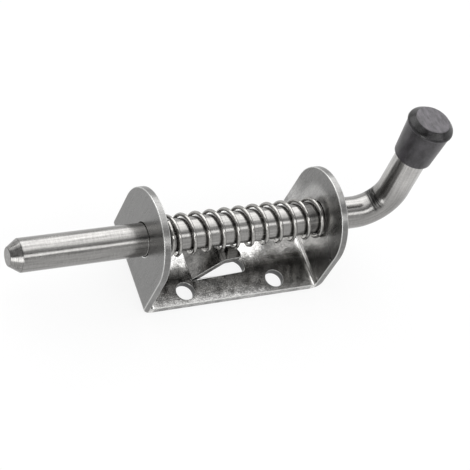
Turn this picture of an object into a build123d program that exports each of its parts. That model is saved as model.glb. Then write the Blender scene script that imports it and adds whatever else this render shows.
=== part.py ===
# Spring loaded gate latch: a straight bolt rod in a folded U bracket, with a return spring,
# a stop pin, a bent handle and a rubber grip cap.
# Millimetres. The origin is the centre of the bracket's mounting face, +Z up, and the rod runs
# along X, with its locking tip at -X and its handle at +X.
import os
from math import cos, radians, sin

from build123d import *

# Sheet bracket
sheet = 2.0  # thickness of the folded sheet
bracket_length = 55.0  # over the outer faces of both ears
bracket_width = 28.0  # base and ears
axis_height = 16.0  # rod axis above the mounting face
bend_inside = 1.0  # inside radius of the two folds
edge_break = 0.25  # broken edges of the sheet
screw_margin_x = 13.75  # middle of each screw hole from the ear's outer face
screw_margin_y = 4.0  # and from the side of the base
screw_hole_d = 5.2

# Tongue under the rod, cut and bent up out of the base, with a notch between two horns
tongue_root = -10.8  # where the tongue leaves the base
tongue_root_width = 13.7
tongue_tip_width = 12.4
tongue_slope = 48.0  # degrees
tongue_rise = 8.0  # top of the horns above the top of the base
tongue_flat = 5.7  # level stretch of the horns
tongue_bend = 0.8  # inside radius of its bends
tongue_cut = 0.25  # gap left by the cutting tool round the tongue
notch_width = 4.2
notch_start = 8.9  # bottom of the notch from the root, along the tongue
horn_outer_r = 1.0  # corners of the horns
horn_inner_r = 2.9

# Bolt rod
rod_d = 9.0
rod_clearance = 0.22  # between the rod and each ear's hole, on the radius
reach = 37.5  # tip beyond the front ear's outer face
tip_d = 5.0  # flat end face
tip_length = 2.7  # length of the turned taper
handle_offset = 19.1  # corner of the handle beyond the rear ear's outer face
bend_angle = 87.0  # degrees between the rod and its handle
bend_radius = 10.0  # on the rod's centre line
handle_lean = 8.0  # degrees that the handle is turned away from upright, towards +Y
end_chamfer = 0.5

# Grip cap
cap_start = 22.8  # open end, from the handle's corner along the handle
cap_length = 13.9
cap_shoulder = 1.7  # length of the taper below the flat top
cap_mouth_d = 10.9
cap_shoulder_d = 13.2
cap_top_d = 9.6
cap_roof = 2.2  # rubber above the rod's end
cap_fit = 0.05  # between the rod and the cap, on the radius
cap_mouth_break = 0.6
cap_edge_break = 0.3

# Stop pin and washer
pin_d = 2.5
pin_length = 19.0
pin_chamfer = 0.3
washer_d = 12.0
washer_thickness = 0.8
washer_clearance = 0.15  # on the rod, on the radius
end_play = 0.15  # ear to pin, and pin to washer

# Return spring
wire_d = 1.2
wire_sides = 6  # the round wire is drawn as a plain polygon, in short straight runs
runs_per_turn = 24
spring_clearance = 0.25  # between the rod and the coils, on the radius
seat_gap = 0.1  # spring to washer, and spring to ear
closed_pitch = 1.25
front_closed_turns = 0.9
open_turns = 9.9
rear_closed_turns = 1.5
spring_start_angle = 77.0  # degrees from +Y towards +Z at the front end of the wire

size_match = 0.01  # how closely an edge's radius or place is matched when it is picked

# Sizes that follow from the ones above
bend_outside = bend_inside + sheet
ear_radius = bracket_width / 2
front_face = -bracket_length / 2
rear_face = bracket_length / 2
rod_r = rod_d / 2
ear_hole_r = rod_r + rod_clearance
tip_x = front_face - reach
corner_x = rear_face + handle_offset
pin_x = front_face + sheet + end_play + pin_d / 2
washer_x = pin_x + pin_d / 2 + end_play
spring_r = rod_r + spring_clearance + wire_d / 2
spring_front = washer_x + washer_thickness + seat_gap + wire_d / 2
spring_rear = rear_face - sheet - seat_gap - wire_d / 2

# The rod, its handle and the cap lie in a plane that leans with the handle
lean = radians(handle_lean)
bolt_plane = Plane(
    origin=(0, 0, axis_height), x_dir=(1, 0, 0), z_dir=(0, -cos(lean), sin(lean))
)
# Its origin is the handle's corner, and its Y axis runs up the handle
handle_plane = Plane(bolt_plane.location * Location((corner_x, 0, 0), (0, 0, bend_angle - 90)))


# Folded U bracket, with screw holes, ear holes, and the tongue over its window
ear_top = axis_height + ear_radius
slope = radians(tongue_slope)
slope_length = tongue_rise / sin(slope)
slope_run = slope_length * cos(slope)
tongue_tip = tongue_root + slope_run + tongue_flat
tongue_top = sheet + tongue_rise


# The tongue's outline for one place of its tip and of its notch, with a gap round it
def tongue_outline(tip, notch, gap):
    notch_r = notch_width / 2 - gap
    with BuildSketch(mode=Mode.PRIVATE) as outline:
        with BuildLine():
            Polyline(
                (tongue_root, -tongue_root_width / 2 - gap),
                (tip + gap, -tongue_tip_width / 2 - gap),
                (tip + gap, tongue_tip_width / 2 + gap),
                (tongue_root, tongue_root_width / 2 + gap),
                close=True,
            )
        make_face()
        with Locations((notch + gap + notch_r, 0)):
            Circle(notch_r, mode=Mode.SUBTRACT)
            Rectangle(tip - notch, 2 * notch_r, align=(Align.MIN, Align.CENTER), mode=Mode.SUBTRACT)
        inner_corners = outline.vertices().group_by(Axis.X)[-1].sort_by(Axis.Y)[1:-1]
        fillet(inner_corners, radius=horn_inner_r + gap)
        outer_corners = outline.vertices().group_by(Axis.X)[-1].sort_by(Axis.Y)[0::3]
        fillet(outer_corners, radius=horn_outer_r + gap)
    return outline.sketch


with BuildPart() as bracket:
    with BuildSketch(Plane.XZ) as folded_strip:
        with BuildLine() as fold_line:
            FilletPolyline(
                (front_face, ear_top + sheet),
                (front_face, 0),
                (rear_face, 0),
                (rear_face, ear_top + sheet),
                radius=bend_outside,
            )
            offset(amount=sheet, side=Side.LEFT)
        make_face()
    extrude(amount=bracket_width / 2, both=True)
    with BuildSketch(Plane.YZ) as ear_outline:
        Rectangle(bracket_width, axis_height, align=(Align.CENTER, Align.MIN))
        with Locations((0, axis_height)):
            Circle(ear_radius)
    extrude(amount=bracket_length, both=True, mode=Mode.INTERSECT)
    outline_edges = bracket.edges().filter_by(GeomType.CIRCLE).filter_by(
        lambda edge: abs(edge.radius - ear_radius) < size_match
    )
    sheet_edges = outline_edges + bracket.edges().filter_by(Axis.Z)
    chamfer(sheet_edges, length=edge_break)
    with BuildSketch(Plane.YZ) as rod_holes:
        with Locations((0, axis_height)):
            Circle(ear_hole_r)
    extrude(amount=bracket_length, both=True, mode=Mode.SUBTRACT)
    with BuildSketch() as screw_holes:
        screw_pitch_x = bracket_length - 2 * screw_margin_x
        screw_pitch_y = bracket_width - 2 * screw_margin_y
        with GridLocations(screw_pitch_x, screw_pitch_y, 2, 2):
            Circle(screw_hole_d / 2)
    extrude(amount=sheet, mode=Mode.SUBTRACT)

    # The window has the outline of the tongue before it is bent
    flat_tip = tongue_root + slope_length + tongue_flat
    add(tongue_outline(flat_tip, tongue_root + notch_start, tongue_cut))
    extrude(amount=sheet, mode=Mode.SUBTRACT)

    # The tongue is a folded strip, cut to the same outline as seen from above
    with BuildPart(mode=Mode.PRIVATE) as tongue:
        with BuildSketch(Plane.XZ):
            with BuildLine():
                FilletPolyline(
                    (tongue_root - sheet, sheet),
                    (tongue_root, sheet),
                    (tongue_root + slope_run, tongue_top),
                    (tongue_tip, tongue_top),
                    radius=(tongue_bend, tongue_bend + sheet),
                )
                offset(amount=sheet, side=Side.RIGHT)
            make_face()
        extrude(amount=tongue_root_width / 2, both=True)
        with BuildSketch():
            add(tongue_outline(tongue_tip, tongue_root + notch_start * cos(slope), 0))
            with Locations((tongue_root, 0)):
                Rectangle(sheet, tongue_root_width, align=(Align.MAX, Align.CENTER))
        extrude(amount=tongue_top, mode=Mode.INTERSECT)
    add(tongue)
bracket.part.label = "bracket"


# Bolt rod, turned to a blunt point, bent up behind the bracket and drilled for the stop pin
rod_end = cap_start + cap_length - cap_roof
with BuildPart() as bolt_rod:
    with BuildLine(bolt_plane) as rod_path:
        FilletPolyline(
            (tip_x, 0),
            (corner_x, 0),
            (corner_x + rod_end * cos(radians(bend_angle)), rod_end * sin(radians(bend_angle))),
            radius=bend_radius,
        )
    with BuildSketch(Plane(origin=rod_path.line @ 0, z_dir=rod_path.line % 0)):
        Circle(rod_r)
    sweep()
    tip_edge = bolt_rod.edges().filter_by(GeomType.CIRCLE).sort_by(Axis.X)[0]
    end_edge = bolt_rod.edges().filter_by(GeomType.CIRCLE).sort_by(Axis.Z)[-1]
    tip_face = bolt_rod.faces().sort_by(Axis.X)[0]
    chamfer(tip_edge, length=(rod_d - tip_d) / 2, length2=tip_length, reference=tip_face)
    chamfer(end_edge, length=end_chamfer)
    with BuildSketch(bolt_plane) as pin_hole:
        with Locations((pin_x, 0)):
            Circle(pin_d / 2)
    extrude(amount=rod_d, both=True, mode=Mode.SUBTRACT)
bolt_rod.part.label = "bolt_rod"


# Stop pin, pressed through the rod just behind the front ear
with BuildPart() as stop_pin:
    with BuildSketch(bolt_plane) as pin_section:
        with Locations((pin_x, 0)):
            Circle(pin_d / 2)
    extrude(amount=pin_length / 2, both=True)
    chamfer(stop_pin.edges().filter_by(GeomType.CIRCLE), length=pin_chamfer)
stop_pin.part.label = "stop_pin"


# Thrust washer between the stop pin and the spring
with BuildPart() as thrust_washer:
    with BuildSketch(Plane.YZ.offset(washer_x)) as washer_ring:
        with Locations((0, axis_height)):
            Circle(washer_d / 2)
            Circle(rod_r + washer_clearance, mode=Mode.SUBTRACT)
    extrude(amount=washer_thickness)
thrust_washer.part.label = "thrust_washer"


# Return spring, a right-hand helix with a closed coil at the front and more at the rear
open_length = (
    spring_rear - spring_front - closed_pitch * (front_closed_turns + rear_closed_turns)
)
stretches = (
    (front_closed_turns, closed_pitch),
    (open_turns, open_length / open_turns),
    (rear_closed_turns, closed_pitch),
)
with BuildPart() as return_spring:
    with BuildLine() as wire_path:
        wire_points = []
        stretch_x = spring_front
        stretch_turns = spring_start_angle / 360
        for turns, pitch in stretches:
            angle = radians(stretch_turns * 360)
            start_plane = Plane(
                origin=(stretch_x, 0, axis_height), x_dir=(0, cos(angle), sin(angle)), z_dir=(1, 0, 0)
            )
            coils = start_plane.location * Helix(pitch, pitch * turns, spring_r, mode=Mode.PRIVATE)
            runs = round(turns * runs_per_turn)
            wire_points += [coils @ (run / runs) for run in range(runs)]
            stretch_x += pitch * turns
            stretch_turns += turns
        Polyline(*wire_points, coils @ 1)
    with BuildSketch(Plane(origin=wire_path.line @ 0, z_dir=wire_path.line % 0)):
        RegularPolygon(wire_d / 2, wire_sides)
    sweep(transition=Transition.RIGHT)
return_spring.part.label = "return_spring"


# Rubber grip cap, pushed over the end of the handle
cap_top = cap_start + cap_length
with BuildPart() as grip_cap:
    with BuildSketch(handle_plane) as cap_profile:
        with BuildLine():
            Polyline(
                (rod_r + cap_fit, cap_start),
                (cap_mouth_d / 2, cap_start),
                (cap_shoulder_d / 2, cap_top - cap_shoulder),
                (cap_top_d / 2, cap_top),
                (0, cap_top),
                (0, rod_end),
                (rod_r + cap_fit, rod_end),
                close=True,
            )
        make_face()
    revolve(axis=Axis(handle_plane.origin, handle_plane.y_dir))
    cap_rims = grip_cap.edges().filter_by(GeomType.CIRCLE)
    mouth_rim = cap_rims.filter_by(lambda edge: abs(edge.radius - cap_mouth_d / 2) < size_match)
    shoulder_rim = cap_rims.filter_by(lambda edge: abs(edge.radius - cap_shoulder_d / 2) < size_match)
    top_rim = cap_rims.filter_by(lambda edge: abs(edge.radius - cap_top_d / 2) < size_match)
    chamfer(mouth_rim, length=cap_mouth_break)
    chamfer(shoulder_rim + top_rim, length=cap_edge_break)
grip_cap.part.label = "grip_cap"


os.makedirs("parts", exist_ok=True)
export_step(bracket.part, "parts/bracket.step")
export_step(bolt_rod.part, "parts/bolt_rod.step")
export_step(stop_pin.part, "parts/stop_pin.step")
export_step(thrust_washer.part, "parts/thrust_washer.step")
export_step(return_spring.part, "parts/return_spring.step")
export_step(grip_cap.part, "parts/grip_cap.step")
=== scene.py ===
from math import cos, pi, radians, sin, tan

import bmesh
import bpy
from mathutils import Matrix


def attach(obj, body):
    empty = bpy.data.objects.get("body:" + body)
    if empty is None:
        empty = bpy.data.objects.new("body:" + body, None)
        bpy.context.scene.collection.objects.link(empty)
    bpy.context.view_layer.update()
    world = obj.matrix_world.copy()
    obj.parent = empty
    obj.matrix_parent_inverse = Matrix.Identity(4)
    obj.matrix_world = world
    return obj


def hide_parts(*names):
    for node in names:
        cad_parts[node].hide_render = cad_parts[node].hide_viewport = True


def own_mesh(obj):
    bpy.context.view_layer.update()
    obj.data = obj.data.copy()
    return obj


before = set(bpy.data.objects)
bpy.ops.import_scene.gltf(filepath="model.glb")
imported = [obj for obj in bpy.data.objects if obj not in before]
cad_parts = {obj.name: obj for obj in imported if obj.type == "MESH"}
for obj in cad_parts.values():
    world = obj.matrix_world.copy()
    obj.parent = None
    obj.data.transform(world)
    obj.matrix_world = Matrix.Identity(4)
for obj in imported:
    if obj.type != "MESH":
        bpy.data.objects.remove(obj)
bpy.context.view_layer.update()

# Bracket. One strip of stainless sheet, 2 mm thick, sheared to shape, punched with the rod holes
# and screw holes, and folded up into two round-topped ears. A notched tongue is lanced out of its
# base and bent up under the rod.
sheet = 0.002
bracket_length = 0.055
bracket_width = 0.028
axis_height = 0.016
fold_radius = 0.003
edge_radius = 0.00022
hair = 1e-5
in_mm = 1000.0


def select(kind, test):
    """In edit mode, selects only the vertices, edges or faces that pass the test."""
    bpy.ops.mesh.select_mode(type=kind)
    bpy.ops.mesh.select_all(action="DESELECT")
    shell = bmesh.from_edit_mesh(bpy.context.object.data)
    for part in {"VERT": shell.verts, "EDGE": shell.edges, "FACE": shell.faces}[kind]:
        if test(part):
            part.select_set(True)
    bmesh.update_edit_mesh(bpy.context.object.data)


def middle(part):
    """The middle of an edge or a face."""
    return sum((vertex.co for vertex in part.verts), start=part.verts[0].co * 0) / len(part.verts)


def add(primitive, name, **sizes):
    """Adds a primitive with its place in its mesh, and leaves all of it selected in edit mode."""
    if bpy.context.object and bpy.context.object.mode == "EDIT":
        bpy.ops.object.mode_set(mode="OBJECT")
    bpy.ops.object.select_all(action="DESELECT")
    getattr(bpy.ops.mesh, "primitive_" + primitive + "_add")(**sizes)
    piece = bpy.context.object
    piece.name = name
    bpy.ops.object.transform_apply(location=True, rotation=True, scale=True)
    bpy.ops.object.mode_set(mode="EDIT")
    bpy.ops.mesh.select_mode(type="VERT")
    bpy.ops.mesh.select_all(action="SELECT")
    return piece


def turn(angle, axis, centre):
    """Turns what is selected about an axis through the centre, right-handed."""
    bpy.ops.transform.rotate(value=-angle, orient_axis=axis, orient_type="GLOBAL",
                             center_override=centre)


def bend(angle, axis, centre, steps):
    """Extrudes what is selected round an axis through the centre, right-handed."""
    bpy.ops.mesh.spin(steps=steps, angle=-angle, axis=axis, center=centre)


def pull(x, y, z):
    """Extrudes what is selected by this much."""
    bpy.ops.mesh.extrude_region_move(TRANSFORM_OT_translate={"value": (x, y, z)})


def close():
    """Merges doubled vertices and turns all faces outwards."""
    bpy.ops.mesh.select_all(action="SELECT")
    bpy.ops.mesh.remove_doubles(threshold=hair / 10)
    bpy.ops.mesh.normals_make_consistent(inside=False)


def pick(piece):
    """Leaves edit mode, with this as the one selected piece."""
    if bpy.context.object.mode == "EDIT":
        bpy.ops.object.mode_set(mode="OBJECT")
    bpy.ops.object.select_all(action="DESELECT")
    piece.select_set(True)
    bpy.context.view_layer.objects.active = piece


def apply(piece, kind, **settings):
    """Adds a modifier to the piece and applies it."""
    pick(piece)
    modifier = piece.modifiers.new(kind.lower(), kind)
    for name, value in settings.items():
        setattr(modifier, name, value)
    bpy.ops.object.modifier_apply(modifier=modifier.name)


def smooth(piece, angle=35):
    """Shades the piece smooth, with its flat faces kept flat."""
    pick(piece)
    bpy.ops.object.shade_smooth_by_angle(angle=radians(angle))
    apply(piece, "WEIGHTED_NORMAL", keep_sharp=True)


class Pattern:
    """A value of a material's nodes, with arithmetic."""

    def __init__(self, tree, socket=None):
        self.tree = tree
        self.socket = socket

    def node(self, kind, settings=(), inputs=(), output=0):
        """Adds a node, with its settings first and then the values or links of its inputs."""
        node = self.tree.nodes.new(kind)
        for name, value in dict(settings).items():
            setattr(node, name, value)
        for name, value in dict(inputs).items():
            if isinstance(value, Pattern):
                self.tree.links.new(value.socket, node.inputs[name])
            else:
                node.inputs[name].default_value = value
        return Pattern(self.tree, node.outputs[output])

    def maths(self, operation, *values):
        """The result of one operation on these values."""
        return self.node("ShaderNodeMath", {"operation": operation}, dict(enumerate(values)))

    def __add__(self, other):
        return self.maths("ADD", self, other)

    def __radd__(self, other):
        return self.maths("ADD", other, self)

    def __sub__(self, other):
        return self.maths("SUBTRACT", self, other)

    def __rsub__(self, other):
        return self.maths("SUBTRACT", other, self)

    def __mul__(self, other):
        return self.maths("MULTIPLY", self, other)

    def __rmul__(self, other):
        return self.maths("MULTIPLY", other, self)

    def parts(self):
        """The three parts of a place."""
        return [self.node("ShaderNodeSeparateXYZ", {}, {0: self}, axis) for axis in "XYZ"]

    def above(self, level, width):
        """0 below the level and 1 above it, over the width."""
        return self.node(
            "ShaderNodeMapRange",
            {"interpolation_type": "SMOOTHSTEP"},
            {"Value": self, "From Min": level - width / 2, "From Max": level + width / 2},
        )

    def noise(self, scale, detail=2.0, stretch=(1, 1, 1)):
        """Noise of this place in millimetres, stretched along the axes."""
        place = self.node("ShaderNodeVectorMath", {"operation": "MULTIPLY"}, {0: self, 1: stretch})
        return self.node(
            "ShaderNodeTexNoise", {}, {"Vector": place, "Scale": scale, "Detail": detail})


def finish(name, color, roughness, metallic=1.0):
    """A material, its shader, and the place on the piece in millimetres."""
    material = bpy.data.materials.new(name)
    material.use_nodes = True
    shader = material.node_tree.nodes["Principled BSDF"]
    shader.inputs["Base Color"].default_value = (*color, 1)
    shader.inputs["Roughness"].default_value = roughness
    shader.inputs["Metallic"].default_value = metallic
    place = Pattern(material.node_tree).node("ShaderNodeTexCoord", output="Object")
    place = place.node("ShaderNodeVectorMath", {"operation": "SCALE"}, {0: place, "Scale": in_mm})
    return material, shader, place


def drive(shader, name, value):
    """Links a pattern to one of the shader's inputs."""
    value.tree.links.new(value.socket, shader.inputs[name])


def shade(shader, color, level):
    """Makes the color lighter or darker by a pattern around 1."""
    drive(shader, "Base Color", level.node(
        "ShaderNodeVectorMath", {"operation": "SCALE"}, {0: color, "Scale": level}))


def emboss(shader, height, depth):
    """Raises the surface by a pattern, to a depth in metres."""
    drive(shader, "Normal", height.node(
        "ShaderNodeBump", {}, {"Height": height, "Distance": depth}))


def from_axis(y, z):
    """The distance from the rod's axis in millimetres."""
    height = z - axis_height * in_mm
    return y.maths("SQRT", y * y + height * height)


def paint(piece, material):
    """Gives the piece this one material."""
    piece.data.materials.clear()
    piece.data.materials.append(material)


ear_radius = bracket_width / 2
ear_top = axis_height + ear_radius
bracket = add("cube", "bracket_sheet", size=1, location=(0, 0, ear_top / 2),
              scale=(bracket_length, bracket_width, ear_top))
select("EDGE", lambda edge: middle(edge).z > ear_top - hair and abs(middle(edge).y) > hair)
bpy.ops.mesh.bevel(offset=ear_radius, segments=48, profile=0.5, affect="EDGES",
                   clamp_overlap=False)
select("EDGE", lambda edge: middle(edge).z < hair and abs(middle(edge).y) < hair)
bpy.ops.mesh.bevel(offset=fold_radius, segments=12, profile=0.5, affect="EDGES",
                   clamp_overlap=False)
select("FACE", lambda face: abs(face.normal.x) < 0.01 and face.normal.z > -0.99)
bpy.ops.mesh.delete(type="FACE")
bpy.ops.mesh.select_all(action="SELECT")
bpy.ops.mesh.remove_doubles(threshold=hair / 10)
apply(bracket, "SOLIDIFY", thickness=sheet, offset=-1, use_even_offset=True)

rod_hole_radius = 0.00472
screw_hole_radius = 0.0026
screw_holes_x = 0.01375
screw_holes_y = 0.010
cuts = [add("cylinder", "rod_hole", vertices=96, radius=rod_hole_radius, depth=bracket_length * 2,
            location=(0, 0, axis_height), rotation=(0, pi / 2, 0))]
for x in (-screw_holes_x, screw_holes_x):
    for y in (-screw_holes_y, screw_holes_y):
        cuts.append(add("cylinder", "screw_hole", vertices=56, radius=screw_hole_radius,
                        depth=sheet * 4, location=(x, y, 0)))

# The tongue's outline and its bends; the notch is where its middle was cut away
tongue_root = -0.0108
tongue_root_width = 0.0137
tongue_tip_width = 0.0124
tongue_slope = radians(48)
tongue_rise = 0.008
tongue_flat = 0.0057
tongue_cut = 0.00025
tongue_rounding = 0.001
notch_start = 0.0089
notch_half_width = 0.0021
horn_rounding = 0.0029
block_height = 0.03
gouge_length = 0.02
slope_length = tongue_rise / sin(tongue_slope)


def horned_block(name, tip, notch, gap):
    """A block with the tongue's outline as seen from above, with a gap round it."""
    end = tip + gap
    block = add("cube", name, size=1, location=((tongue_root + end) / 2, 0, 0),
                scale=(end - tongue_root, tongue_root_width + 2 * gap, block_height))
    select("FACE", lambda face: face.normal.x > 0.9)
    narrowing = (tongue_tip_width + 2 * gap) / (tongue_root_width + 2 * gap)
    bpy.ops.transform.resize(value=(1, narrowing, 1), center_override=(end, 0, 0))
    notch_radius = notch_half_width - gap
    notch_end = notch + gap
    gouge = add("cube", "gouge", size=1, location=(notch_end + gouge_length / 2, 0, 0),
                scale=(gouge_length, 2 * notch_radius, 2 * block_height))
    select("EDGE", lambda edge: middle(edge).x < notch_end + hair and abs(middle(edge).z) < hair)
    bpy.ops.mesh.bevel(offset=notch_radius, segments=24, profile=0.5, affect="EDGES",
                       clamp_overlap=False)
    bpy.ops.mesh.select_all(action="SELECT")
    bpy.ops.mesh.remove_doubles(threshold=hair / 10)
    apply(block, "BOOLEAN", operation="DIFFERENCE", object=gouge, solver="EXACT")
    bpy.data.objects.remove(gouge)
    bpy.ops.object.mode_set(mode="EDIT")
    for corner, rounding in ((notch_radius, horn_rounding),
                             (tongue_tip_width / 2 + gap, tongue_rounding)):
        select("EDGE", lambda edge: middle(edge).x > end - hair and abs(middle(edge).z) < hair
               and abs(abs(middle(edge).y) - corner) < 5 * hair)
        bpy.ops.mesh.bevel(offset=rounding + gap, segments=12, profile=0.5, affect="EDGES",
                           clamp_overlap=False)
    return block


window_end = tongue_root + slope_length + tongue_flat
cuts.append(horned_block("window", window_end, tongue_root + notch_start, tongue_cut))
bpy.ops.object.mode_set(mode="OBJECT")
for cut in cuts:
    cut.select_set(True)
bpy.ops.object.join()
cutter = bpy.context.object
apply(bracket, "BOOLEAN", operation="DIFFERENCE", object=cutter, solver="EXACT")
bpy.data.objects.remove(cutter)

# The middles of the walls of the screw holes and the window, which get their own finish
punched_x, punched_y = 0.020, 0.0135
punched = [face.center.copy() for face in bracket.data.polygons
           if abs(face.center.x) < punched_x and abs(face.center.y) < punched_y
           and abs(face.normal.z) < 0.1]

# The tongue is bent up with a tight fold and bent back level, and trimmed to its outline
tongue_bend = 0.0008
level_x = tongue_root + slope_length * cos(tongue_slope)
lower_tangent = tongue_bend * tan(tongue_slope / 2)
upper_tangent = (tongue_bend + sheet) * tan(tongue_slope / 2)
straight = slope_length - lower_tangent - upper_tangent
fold_x = tongue_root - lower_tangent
tongue = add("cube", "tongue", size=1, location=(fold_x - sheet / 2, 0, sheet / 2),
             scale=(sheet, tongue_root_width + sheet, sheet))
select("FACE", lambda face: face.normal.x > 0.9)
bend(tongue_slope, (0, -1, 0), (fold_x, 0, sheet + tongue_bend), 8)
pull(straight * cos(tongue_slope), 0, straight * sin(tongue_slope))
bend(tongue_slope, (0, 1, 0), (level_x + upper_tangent, 0, tongue_rise - tongue_bend), 8)
pull(tongue_flat + sheet, 0, 0)
close()
notch_x = tongue_root + notch_start * cos(tongue_slope)
outline = horned_block("outline", level_x + tongue_flat, notch_x, 0)
select("FACE", lambda face: face.normal.x < -0.9)
pull(-sheet, 0, 0)
apply(tongue, "BOOLEAN", operation="INTERSECT", object=outline, solver="EXACT")
apply(bracket, "BOOLEAN", operation="UNION", object=tongue, solver="EXACT")
bpy.data.objects.remove(outline)
bpy.data.objects.remove(tongue)

# The sheet has rolling grain along the strip and cloudy mottling; between the ears and low down it
# is painted brighter, a painted reflection, with stronger mottle there and painted shade along its
# long edges; its folds get a painted highlight, as do its broken edges below, and the ears' inner
# faces are lighter within 9 mm of the rod's axis
sheet_color = (0.237, 0.235, 0.231)
sheet_finish, shader, place = finish("sheet_steel", sheet_color, 0.3)
x, y, z = place.parts()
grain = place.noise(2.4, 3.0, (0.05, 1, 0.05))
fine_grain = place.noise(9.0, 2.0, (0.04, 1, 0.04))
clouds = place.noise(0.35, 3.0)
pits = place.noise(3.2, 2.0)
ear_face = (bracket_length / 2 - sheet) * in_mm
from_middle = x.maths("ABSOLUTE", x)
between_ears = 1 - from_middle.above(ear_face + 0.2, 0.2)
# Painted reflection: between the ears and low down the sheet is painted brighter
inside = between_ears * (1 - z.above(13.0, 10.0))
# Painted highlight: the folds are painted bright
fold_highlight = from_middle.above(ear_face - 1.3, 0.4) * between_ears * (1 - z.above(3.3, 0.4))
# The ears' inner faces are lighter within 9 mm of the rod's axis
near_rod_ring = (from_middle.above(ear_face - 0.2, 0.2) * between_ears
          * (1 - from_axis(y, z).above(9.0, 3.0)))
# Painted shade: strips along the base's long edges are painted darker
edge_strip_shade = y.maths("ABSOLUTE", y).above(11.0, 2.0)
mottle = (((clouds.above(0.5, 0.3) - 0.5) * 0.6 + (pits - 0.5) * 1.8 - 0.5 * edge_strip_shade)
          * (1 - z.above(6.0, 4.0)))
shade(shader, sheet_color, (0.4 * grain + 0.5 * fine_grain + 0.2 * clouds + 0.8 * pits)
      * (0.9 + inside * (0.9 + mottle) + 1.6 * fold_highlight + 0.9 * near_rod_ring))
drive(shader, "Roughness", 0.18 + 0.12 * clouds + 0.1 * grain - 0.13 * inside)
emboss(shader, 0.05 * fine_grain + 0.03 * pits + clouds, 0.00004)

# The broken edges are painted bright, a painted highlight on their rounding, less so at the holes
# in the base, and brightest on the low near side of the rod holes, a painted highlight there too
edge_highlight_color = (0.5, 0.5, 0.49)
edge_highlight_finish, shader, place = finish("edge_highlight", edge_highlight_color, 0.3)
x, y, z = place.parts()
from_middle = x.maths("ABSOLUTE", x)
holes = (1 - from_middle.above(20.0, 1.0)) * (1 - y.maths("ABSOLUTE", y).above(13.3, 0.3))
# Painted highlight: the low near side of each rod hole's rim is painted bright, the rest of it
# darker
lit_hole_side = (0.4 * (axis_height * in_mm - z) - y).above(1.5, 3.0)
rod_holes = from_middle.above(ear_face - 0.5, 0.5) * (1 - from_axis(y, z).above(5.4, 0.2))
shade(shader, edge_highlight_color, 0.7 + 0.6 * place.noise(1.5, 2.0) - 0.5 * holes
      + rod_holes * (2.6 * lit_hole_side - 0.4))
drive(shader, "Roughness", 0.2 + 0.3 * place.noise(2.0))

# The punched walls are painted dark, a painted shade in the holes, and are torn rough
wall_shade_color = (0.1, 0.1, 0.1)
wall_shade_finish, shader, place = finish("punched_wall_shade", wall_shade_color, 0.4)
drive(shader, "Roughness", 0.3 + 0.3 * place.noise(3.0, 2.0, (1, 1, 0.1)))
paint(bracket, sheet_finish)
bracket.data.materials.append(edge_highlight_finish)
bracket.data.materials.append(wall_shade_finish)
for face in bracket.data.polygons:
    if any((face.center - wall).length < hair for wall in punched):
        face.material_index = 2
apply(bracket, "BEVEL", width=edge_radius, segments=3, limit_method="ANGLE",
      angle_limit=radians(50), use_clamp_overlap=False, material=1)

# The bevel leaves a few points just under the base, which are laid flat on it
bpy.ops.object.mode_set(mode="EDIT")
select("VERT", lambda vertex: vertex.co.z < 0)
bpy.ops.transform.resize(value=(1, 1, 0), center_override=(0, 0, 0))
smooth(bracket)
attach(bracket, "bracket")
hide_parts("bracket")

# Bolt rod. Round stainless bar, turned to a blunt cone at the tip and bent up cold behind the
# bracket, which leaves creases on the inside of the bend.
rod_radius = 0.0045
tip_x = -0.065
tip_radius = 0.0025
tip_length = 0.003
corner_x = 0.0466
bend_angle = radians(87)
bend_radius = 0.010
handle_lean = radians(8)
rod_end = 0.0345
rod_rounding = 0.00015
tangent = bend_radius * tan(bend_angle / 2)
rod = add("circle", "rod", vertices=64, radius=tip_radius, fill_type="NGON",
          location=(tip_x, 0, axis_height), rotation=(0, pi / 2, 0))
pull(tip_length, 0, 0)
widening = rod_radius / tip_radius
bpy.ops.transform.resize(value=(1, widening, widening), center_override=(tip_x, 0, axis_height))
pull(corner_x - tangent - tip_x - tip_length, 0, 0)
bend(bend_angle, (0, -1, 0), (corner_x - tangent, 0, axis_height + bend_radius), 48)
straight = rod_end - tangent
pull(straight * cos(bend_angle), 0, straight * sin(bend_angle))
close()
turn(-handle_lean, "X", (0, 0, axis_height))
apply(rod, "BEVEL", width=rod_rounding, segments=2, limit_method="ANGLE",
      angle_limit=radians(30), use_clamp_overlap=False)
smooth(rod)

# Ground bar. The marks follow the bar round its bend, in a place measured along it, to its side
# and out from the middle of the bend, where the inside is creased and darker; the tip is turned,
# and the handle is painted lighter, painted light
rod_color = (0.27, 0.265, 0.258)
rod_finish, shader, place = finish("rod_steel", rod_color, 0.28)
x, y, z = place.parts()
bend_x, bend_up = (corner_x - tangent) * in_mm, bend_radius * in_mm
height = z - axis_height * in_mm
up = height * cos(handle_lean) + y * sin(handle_lean)
side = y * cos(handle_lean) - height * sin(handle_lean)
past = (x - bend_x).maths("MAXIMUM", x - bend_x, 0.0)
below = up.maths("MAXIMUM", bend_up - up, 0.0)
around = x.maths("ARCTAN2", past, below)
out = x.maths("SQRT", past * past + below * below)
along = x - past + around * bend_up + (up - bend_up).maths("MAXIMUM", up - bend_up, 0.0)
bar = place.node("ShaderNodeCombineXYZ", {}, {0: along, 1: side, 2: out})
marks = bar.noise(4.0, 2.0, (1, 0.12, 0.12))
smears = bar.noise(1.8, 3.0, (0.05, 1, 1))
specks = bar.noise(2.6, 3.0)
tip = 1 - along.above((tip_x + tip_length) * in_mm, 0.2)
turned = tip * along.node(
    "ShaderNodeTexNoise", {"noise_dimensions": "1D"}, {"W": along, "Scale": 7.0, "Detail": 1.0})
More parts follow.
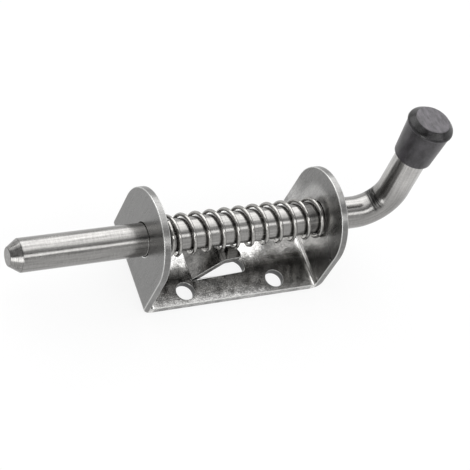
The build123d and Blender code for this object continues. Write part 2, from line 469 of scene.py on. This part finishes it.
# Painted light: the handle is painted lighter
lit_handle = up.above(12.0, 10.0)
crease_angle, crease_reach = 0.82, 7.4
pinch = ((1 - x.maths("ABSOLUTE", around - crease_angle).above(0.22, 0.12))
         * (1 - out.above(crease_reach, 1.0)))
creases = pinch * (0.65 + 0.35 * bar.noise(2.0, 1.0, (1, 0.2, 0.1)).above(0.48, 0.12))
shade(shader, rod_color,
      (0.2 + 0.4 * marks + 0.9 * smears + 0.3 * specks - 0.9 * tip + 1.5 * turned)
      * (1 + 0.6 * lit_handle) * (1 - 0.9 * creases))
drive(shader, "Roughness", 0.1 + 0.06 * specks + 0.2 * smears + 0.2 * creases)
emboss(shader, 0.01 * marks + 0.005 * specks + 0.05 * turned - 0.2 * creases, 0.00004)
paint(rod, rod_finish)
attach(rod, "bolt")
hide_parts("bolt_rod")

# Stop pin. A short steel dowel pressed across the rod behind the front ear; it stops the bolt
# against the ear, and its end drops into the tongue's notch when the handle is turned.
pin_x = -0.0241
pin_radius = 0.00125
pin_length = 0.019
pin_rounding = 0.0003
pin = add("cylinder", "pin", vertices=32, radius=pin_radius, depth=pin_length,
          location=(pin_x, 0, axis_height), rotation=(pi / 2, 0, 0))
turn(-handle_lean, "X", (0, 0, axis_height))
apply(pin, "BEVEL", width=pin_rounding, segments=3, limit_method="ANGLE",
      angle_limit=radians(50))
smooth(pin)
pin_color = (0.3, 0.3, 0.3)
pin_finish, shader, place = finish("pin_steel", pin_color, 0.3)
shade(shader, pin_color, 0.5 + place.noise(4.0, 2.0, (1, 0.1, 1)))
paint(pin, pin_finish)
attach(pin, "bolt")
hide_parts("stop_pin")

# Thrust washer. A ring stamped out of steel sheet, loose on the rod between the pin and the
# spring, with its edges tumbled round.
washer_x = -0.0227
washer_hole_radius = 0.00465
washer_radius = 0.006
washer_thickness = 0.0008
washer_rounding = 0.00012
washer = add("circle", "washer", vertices=96, radius=washer_hole_radius, fill_type="NOTHING",
             location=(washer_x, 0, axis_height), rotation=(0, pi / 2, 0))
pull(0, 0, 0)
widening = washer_radius / washer_hole_radius
bpy.ops.transform.resize(value=(1, widening, widening), center_override=(washer_x, 0, axis_height))
apply(washer, "SOLIDIFY", thickness=washer_thickness, offset=1)
apply(washer, "BEVEL", width=washer_rounding, segments=3, limit_method="ANGLE",
      angle_limit=radians(50))
smooth(washer)
washer_color = (0.3, 0.3, 0.3)
washer_finish, shader, place = finish("washer_steel", washer_color, 0.3)
shade(shader, washer_color, 0.5 + place.noise(2.0, 3.0))
paint(washer, washer_finish)
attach(washer, "carriage")
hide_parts("thrust_washer")

# Return spring. Round spring wire coiled right-handed over the rod, with its end coils closed up
# against the washer and the rear ear.
wire_radius = 0.00053
coil_radius = 0.00535
spring_front = -0.0212
spring_rear = 0.0248
start_angle = radians(77)
closed_pitch = 0.00125
front_turns, open_turns, rear_turns = 0.9, 10.2, 0.5
steps_per_turn = 40
open_pitch = (spring_rear - spring_front - closed_pitch * (front_turns + rear_turns)) / open_turns
stretches = []
stretch_x, stretch_angle = spring_front, start_angle
for turns, pitch in ((front_turns, closed_pitch), (open_turns, open_pitch),
                     (rear_turns, closed_pitch)):
    steps = round(turns * steps_per_turn)
    coil = add("circle", "coil", vertices=16, radius=wire_radius, fill_type="NOTHING",
               location=(stretch_x, coil_radius, 0))
    turn(stretch_angle, "X", (0, 0, 0))
    apply(coil, "SCREW", axis="X", angle=turns * 2 * pi, screw_offset=turns * pitch, iterations=1,
          steps=steps, render_steps=steps, use_merge_vertices=False)
    stretches.append(coil)
    stretch_x += turns * pitch
    stretch_angle += turns * 2 * pi
bpy.ops.object.select_all(action="DESELECT")
for coil in stretches:
    coil.select_set(True)
spring = stretches[0]
bpy.context.view_layer.objects.active = spring
bpy.ops.object.join()
spring.name = "spring"
bpy.ops.object.mode_set(mode="EDIT")
bpy.ops.mesh.select_all(action="SELECT")
bpy.ops.mesh.remove_doubles(threshold=hair)
bpy.ops.transform.translate(value=(0, 0, axis_height))
select("EDGE", lambda edge: edge.is_boundary)
bpy.ops.mesh.edge_face_add()
bpy.ops.mesh.select_all(action="SELECT")
bpy.ops.mesh.normals_make_consistent(inside=False)
smooth(spring, 50)
wire_color = (0.34, 0.333, 0.32)
wire_finish, shader, place = finish("spring_steel", wire_color, 0.2)
shade(shader, wire_color, 0.5 + place.noise(2.2, 3.0))
drive(shader, "Roughness", 0.08 + 0.14 * place.noise(3.0))
paint(spring, wire_finish)
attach(spring, "bracket")
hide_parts("return_spring")
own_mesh(spring)

# Grip cap. Black rubber, moulded as a cup and pushed over the end of the handle.
cap_start = 0.0228
cap_end = 0.0367
cap_shoulder = 0.0017
cap_rim = 0.0008
cap_lip = 0.00025
cap_mouth_radius = 0.00545
cap_body_radius = 0.0063
cap_shoulder_radius = 0.0066
cap_top_radius = 0.0048
cap_play = 0.00005
lip_rounding, shoulder_rounding, top_rounding = 0.00012, 0.0005, 0.0003
body_end = cap_end - cap_shoulder - cap_rim
cap = add("cylinder", "cap", vertices=64, radius=cap_mouth_radius, depth=body_end - cap_start,
          location=(0, 0, (cap_start + body_end) / 2))
select("FACE", lambda face: face.normal.z > 0.9)
growth = cap_body_radius / cap_mouth_radius
bpy.ops.transform.resize(value=(growth, growth, 1), center_override=(0, 0, cap_end))
for rise, growth in ((cap_lip, cap_shoulder_radius / cap_body_radius), (cap_rim - cap_lip, 1),
                     (cap_shoulder, cap_top_radius / cap_shoulder_radius)):
    pull(0, 0, rise)
    bpy.ops.transform.resize(value=(growth, growth, 1), center_override=(0, 0, cap_end))
select("FACE", lambda face: face.normal.z < -0.9)
bpy.ops.mesh.inset(thickness=cap_mouth_radius - rod_radius - cap_play)
pull(0, 0, rod_end - cap_start)
lip_end = body_end + cap_lip + hair
for low, high, offset in ((0, lip_end, lip_rounding), (lip_end, cap_end - hair, shoulder_rounding),
                          (cap_end - hair, cap_end + hair, top_rounding)):
    select("EDGE", lambda edge: low < middle(edge).z < high and len(edge.link_faces) == 2
           and abs(edge.verts[0].co.z - edge.verts[1].co.z) < hair and edge.calc_face_angle() > 0.3)
    bpy.ops.mesh.bevel(offset=offset, segments=5, profile=0.5, affect="EDGES", clamp_overlap=False)
bpy.ops.mesh.select_all(action="SELECT")
turn(pi / 2 - bend_angle, "Y", (0, 0, 0))
bpy.ops.transform.translate(value=(corner_x, 0, axis_height))
turn(-handle_lean, "X", (0, 0, axis_height))
smooth(cap)

# The rubber has bloomed, in clouds and fine specks; its top is painted lighter with streaks, a
# painted highlight, and its chamfer is painted dark, a painted shade
rubber_color = (0.03, 0.028, 0.031)
rubber, shader, place = finish("cap_rubber", rubber_color, 0.4, 0.0)
x, y, z = place.parts()
up = (z - axis_height * in_mm) * cos(handle_lean) + y * sin(handle_lean)
height = (x - corner_x * in_mm) * cos(bend_angle) + up * sin(bend_angle)
# Painted highlight: the top is painted lighter, with painted highlight streaks
lit_top = height.above(cap_end * in_mm - 0.12, 0.1)
# Painted shade: the chamfer round the top is painted dark
shaded_chamfer = height.above((cap_end - cap_shoulder) * in_mm - 0.2, 0.2) * (1 - lit_top)
bloom = place.noise(0.5, 4.0, (1, 1, 0.4))
skin = place.noise(5.0, 2.0)
highlight_streaks = place.noise(1.2, 3.0, (1, 0.25, 1))
shade(shader, rubber_color, 1.1 * bloom.above(0.5, 0.5) + 1.1 * skin.above(0.5, 0.35)
      + lit_top * (0.6 + 2 * highlight_streaks.above(0.5, 0.6)) - 0.95 * shaded_chamfer)
drive(shader, "Roughness", 0.2 + 0.16 * bloom + 0.1 * skin + 0.16 * lit_top - 0.03 * shaded_chamfer)
shader.inputs["Specular IOR Level"].default_value = 0.4
emboss(shader, skin, 0.000008)
paint(cap, rubber)
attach(cap, "bolt")
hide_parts("grip_cap")

# Floor. White paper that shines by itself to the camera and in mirrored rays, so that it comes out
# white all over, and catches shadows as a matt sheet.
floor_size = 3
floor_drop = 0.00005
floor_glow = 0.85
floor_color = (0.8, 0.8, 0.8, 1)
white = (1, 1, 1, 1)
bpy.ops.object.select_all(action="DESELECT")
bpy.ops.mesh.primitive_plane_add(size=floor_size, location=(0, 0, -floor_drop))
floor = bpy.context.object
floor.name = "floor"
floor_paper = bpy.data.materials.new("floor_paper")
floor_paper.use_nodes = True
floor.data.materials.append(floor_paper)


def seen(tree):
    """1 for rays from the camera, and for mirrored and refracted ones, and 0 for the rest."""
    tree = Pattern(tree)
    camera, glossy, through = (
        tree.node("ShaderNodeLightPath", output="Is " + kind + " Ray")
        for kind in ("Camera", "Glossy", "Transmission"))
    return tree.maths("MINIMUM", camera + glossy + through, 1.0)


rays = seen(floor_paper.node_tree)
glow = rays.node("ShaderNodeEmission", {}, {"Color": white, "Strength": 1.0})
matt = rays.node("ShaderNodeBsdfDiffuse", {}, {"Color": floor_color})
mixed = rays.node("ShaderNodeMixShader", {}, {0: rays * floor_glow, 1: matt, 2: glow})
surface = floor_paper.node_tree.nodes["Material Output"].inputs["Surface"]
floor_paper.node_tree.links.new(mixed.socket, surface)

# Lights. The studio is white all round to the camera and in mirrored rays, and its ceiling is grey,
# darker to the front and the left; four soft lamps light the latch from above and both sides.
fill_light = 0.45
world = bpy.data.worlds.new("studio")
bpy.context.scene.world = world
world.use_nodes = True
rays = seen(world.node_tree)
to_right, to_back, upwards = rays.node("ShaderNodeTexCoord", output="Generated").parts()
ceiling = (0.35 + 0.65 * to_right.above(-0.15, 0.6)) * (0.3 + 0.65 * to_back.above(-0.25, 0.35))
overhead = upwards.above(0.45, 0.4)
ceiling = 1 - overhead * (1 - ceiling)
studio = rays.node("ShaderNodeBackground", {}, {"Color": ceiling, "Strength": 1.0})
fill = rays.node("ShaderNodeBackground", {}, {"Color": white, "Strength": fill_light})
mixed = rays.node("ShaderNodeMixShader", {}, {0: rays, 1: fill, 2: studio})
surface = world.node_tree.nodes["World Output"].inputs["Surface"]
world.node_tree.links.new(mixed.socket, surface)


def softbox(name, location, rotation, size, power):
    """Adds a rectangular soft lamp."""
    bpy.ops.object.select_all(action="DESELECT")
    bpy.ops.object.light_add(type="AREA", location=location, rotation=rotation)
    lamp = bpy.context.object
    lamp.name = name
    lamp.data.shape = "RECTANGLE"
    lamp.data.size, lamp.data.size_y = size
    lamp.data.energy = power


softbox("overhead_lamp", (0.1, 0.52, 0.468), (radians(-48), 0, 0), (1.2, 0.532), 4.7)
softbox("top_lamp", (0.1, 0.146, 0.685), (radians(-12), 0, 0), (1.2, 0.375), 1.98)
softbox("front_lamp", (0.1, -0.38, 0.47), (radians(39), 0, 0), (0.9, 0.16), 1.3)
softbox("left_lamp", (-0.52, -0.5, 0.22), (radians(73), 0, radians(-46)), (0.35, 0.35), 1.3)

# Camera. Fitted to the photograph's corners and edges.
camera_place = (-0.19263, -0.18677, 0.35993)
camera_turn = (0.58109, -0.3293, -0.3473)
camera_lens = 123.04
camera_sensor = 36.0
bpy.ops.object.camera_add(location=camera_place, rotation=camera_turn)
camera = bpy.context.object
camera.name = "camera"
camera.data.sensor_width = camera_sensor
camera.data.lens = camera_lens
bpy.context.scene.camera = camera
bpy.context.scene.view_settings.view_transform = "Standard"
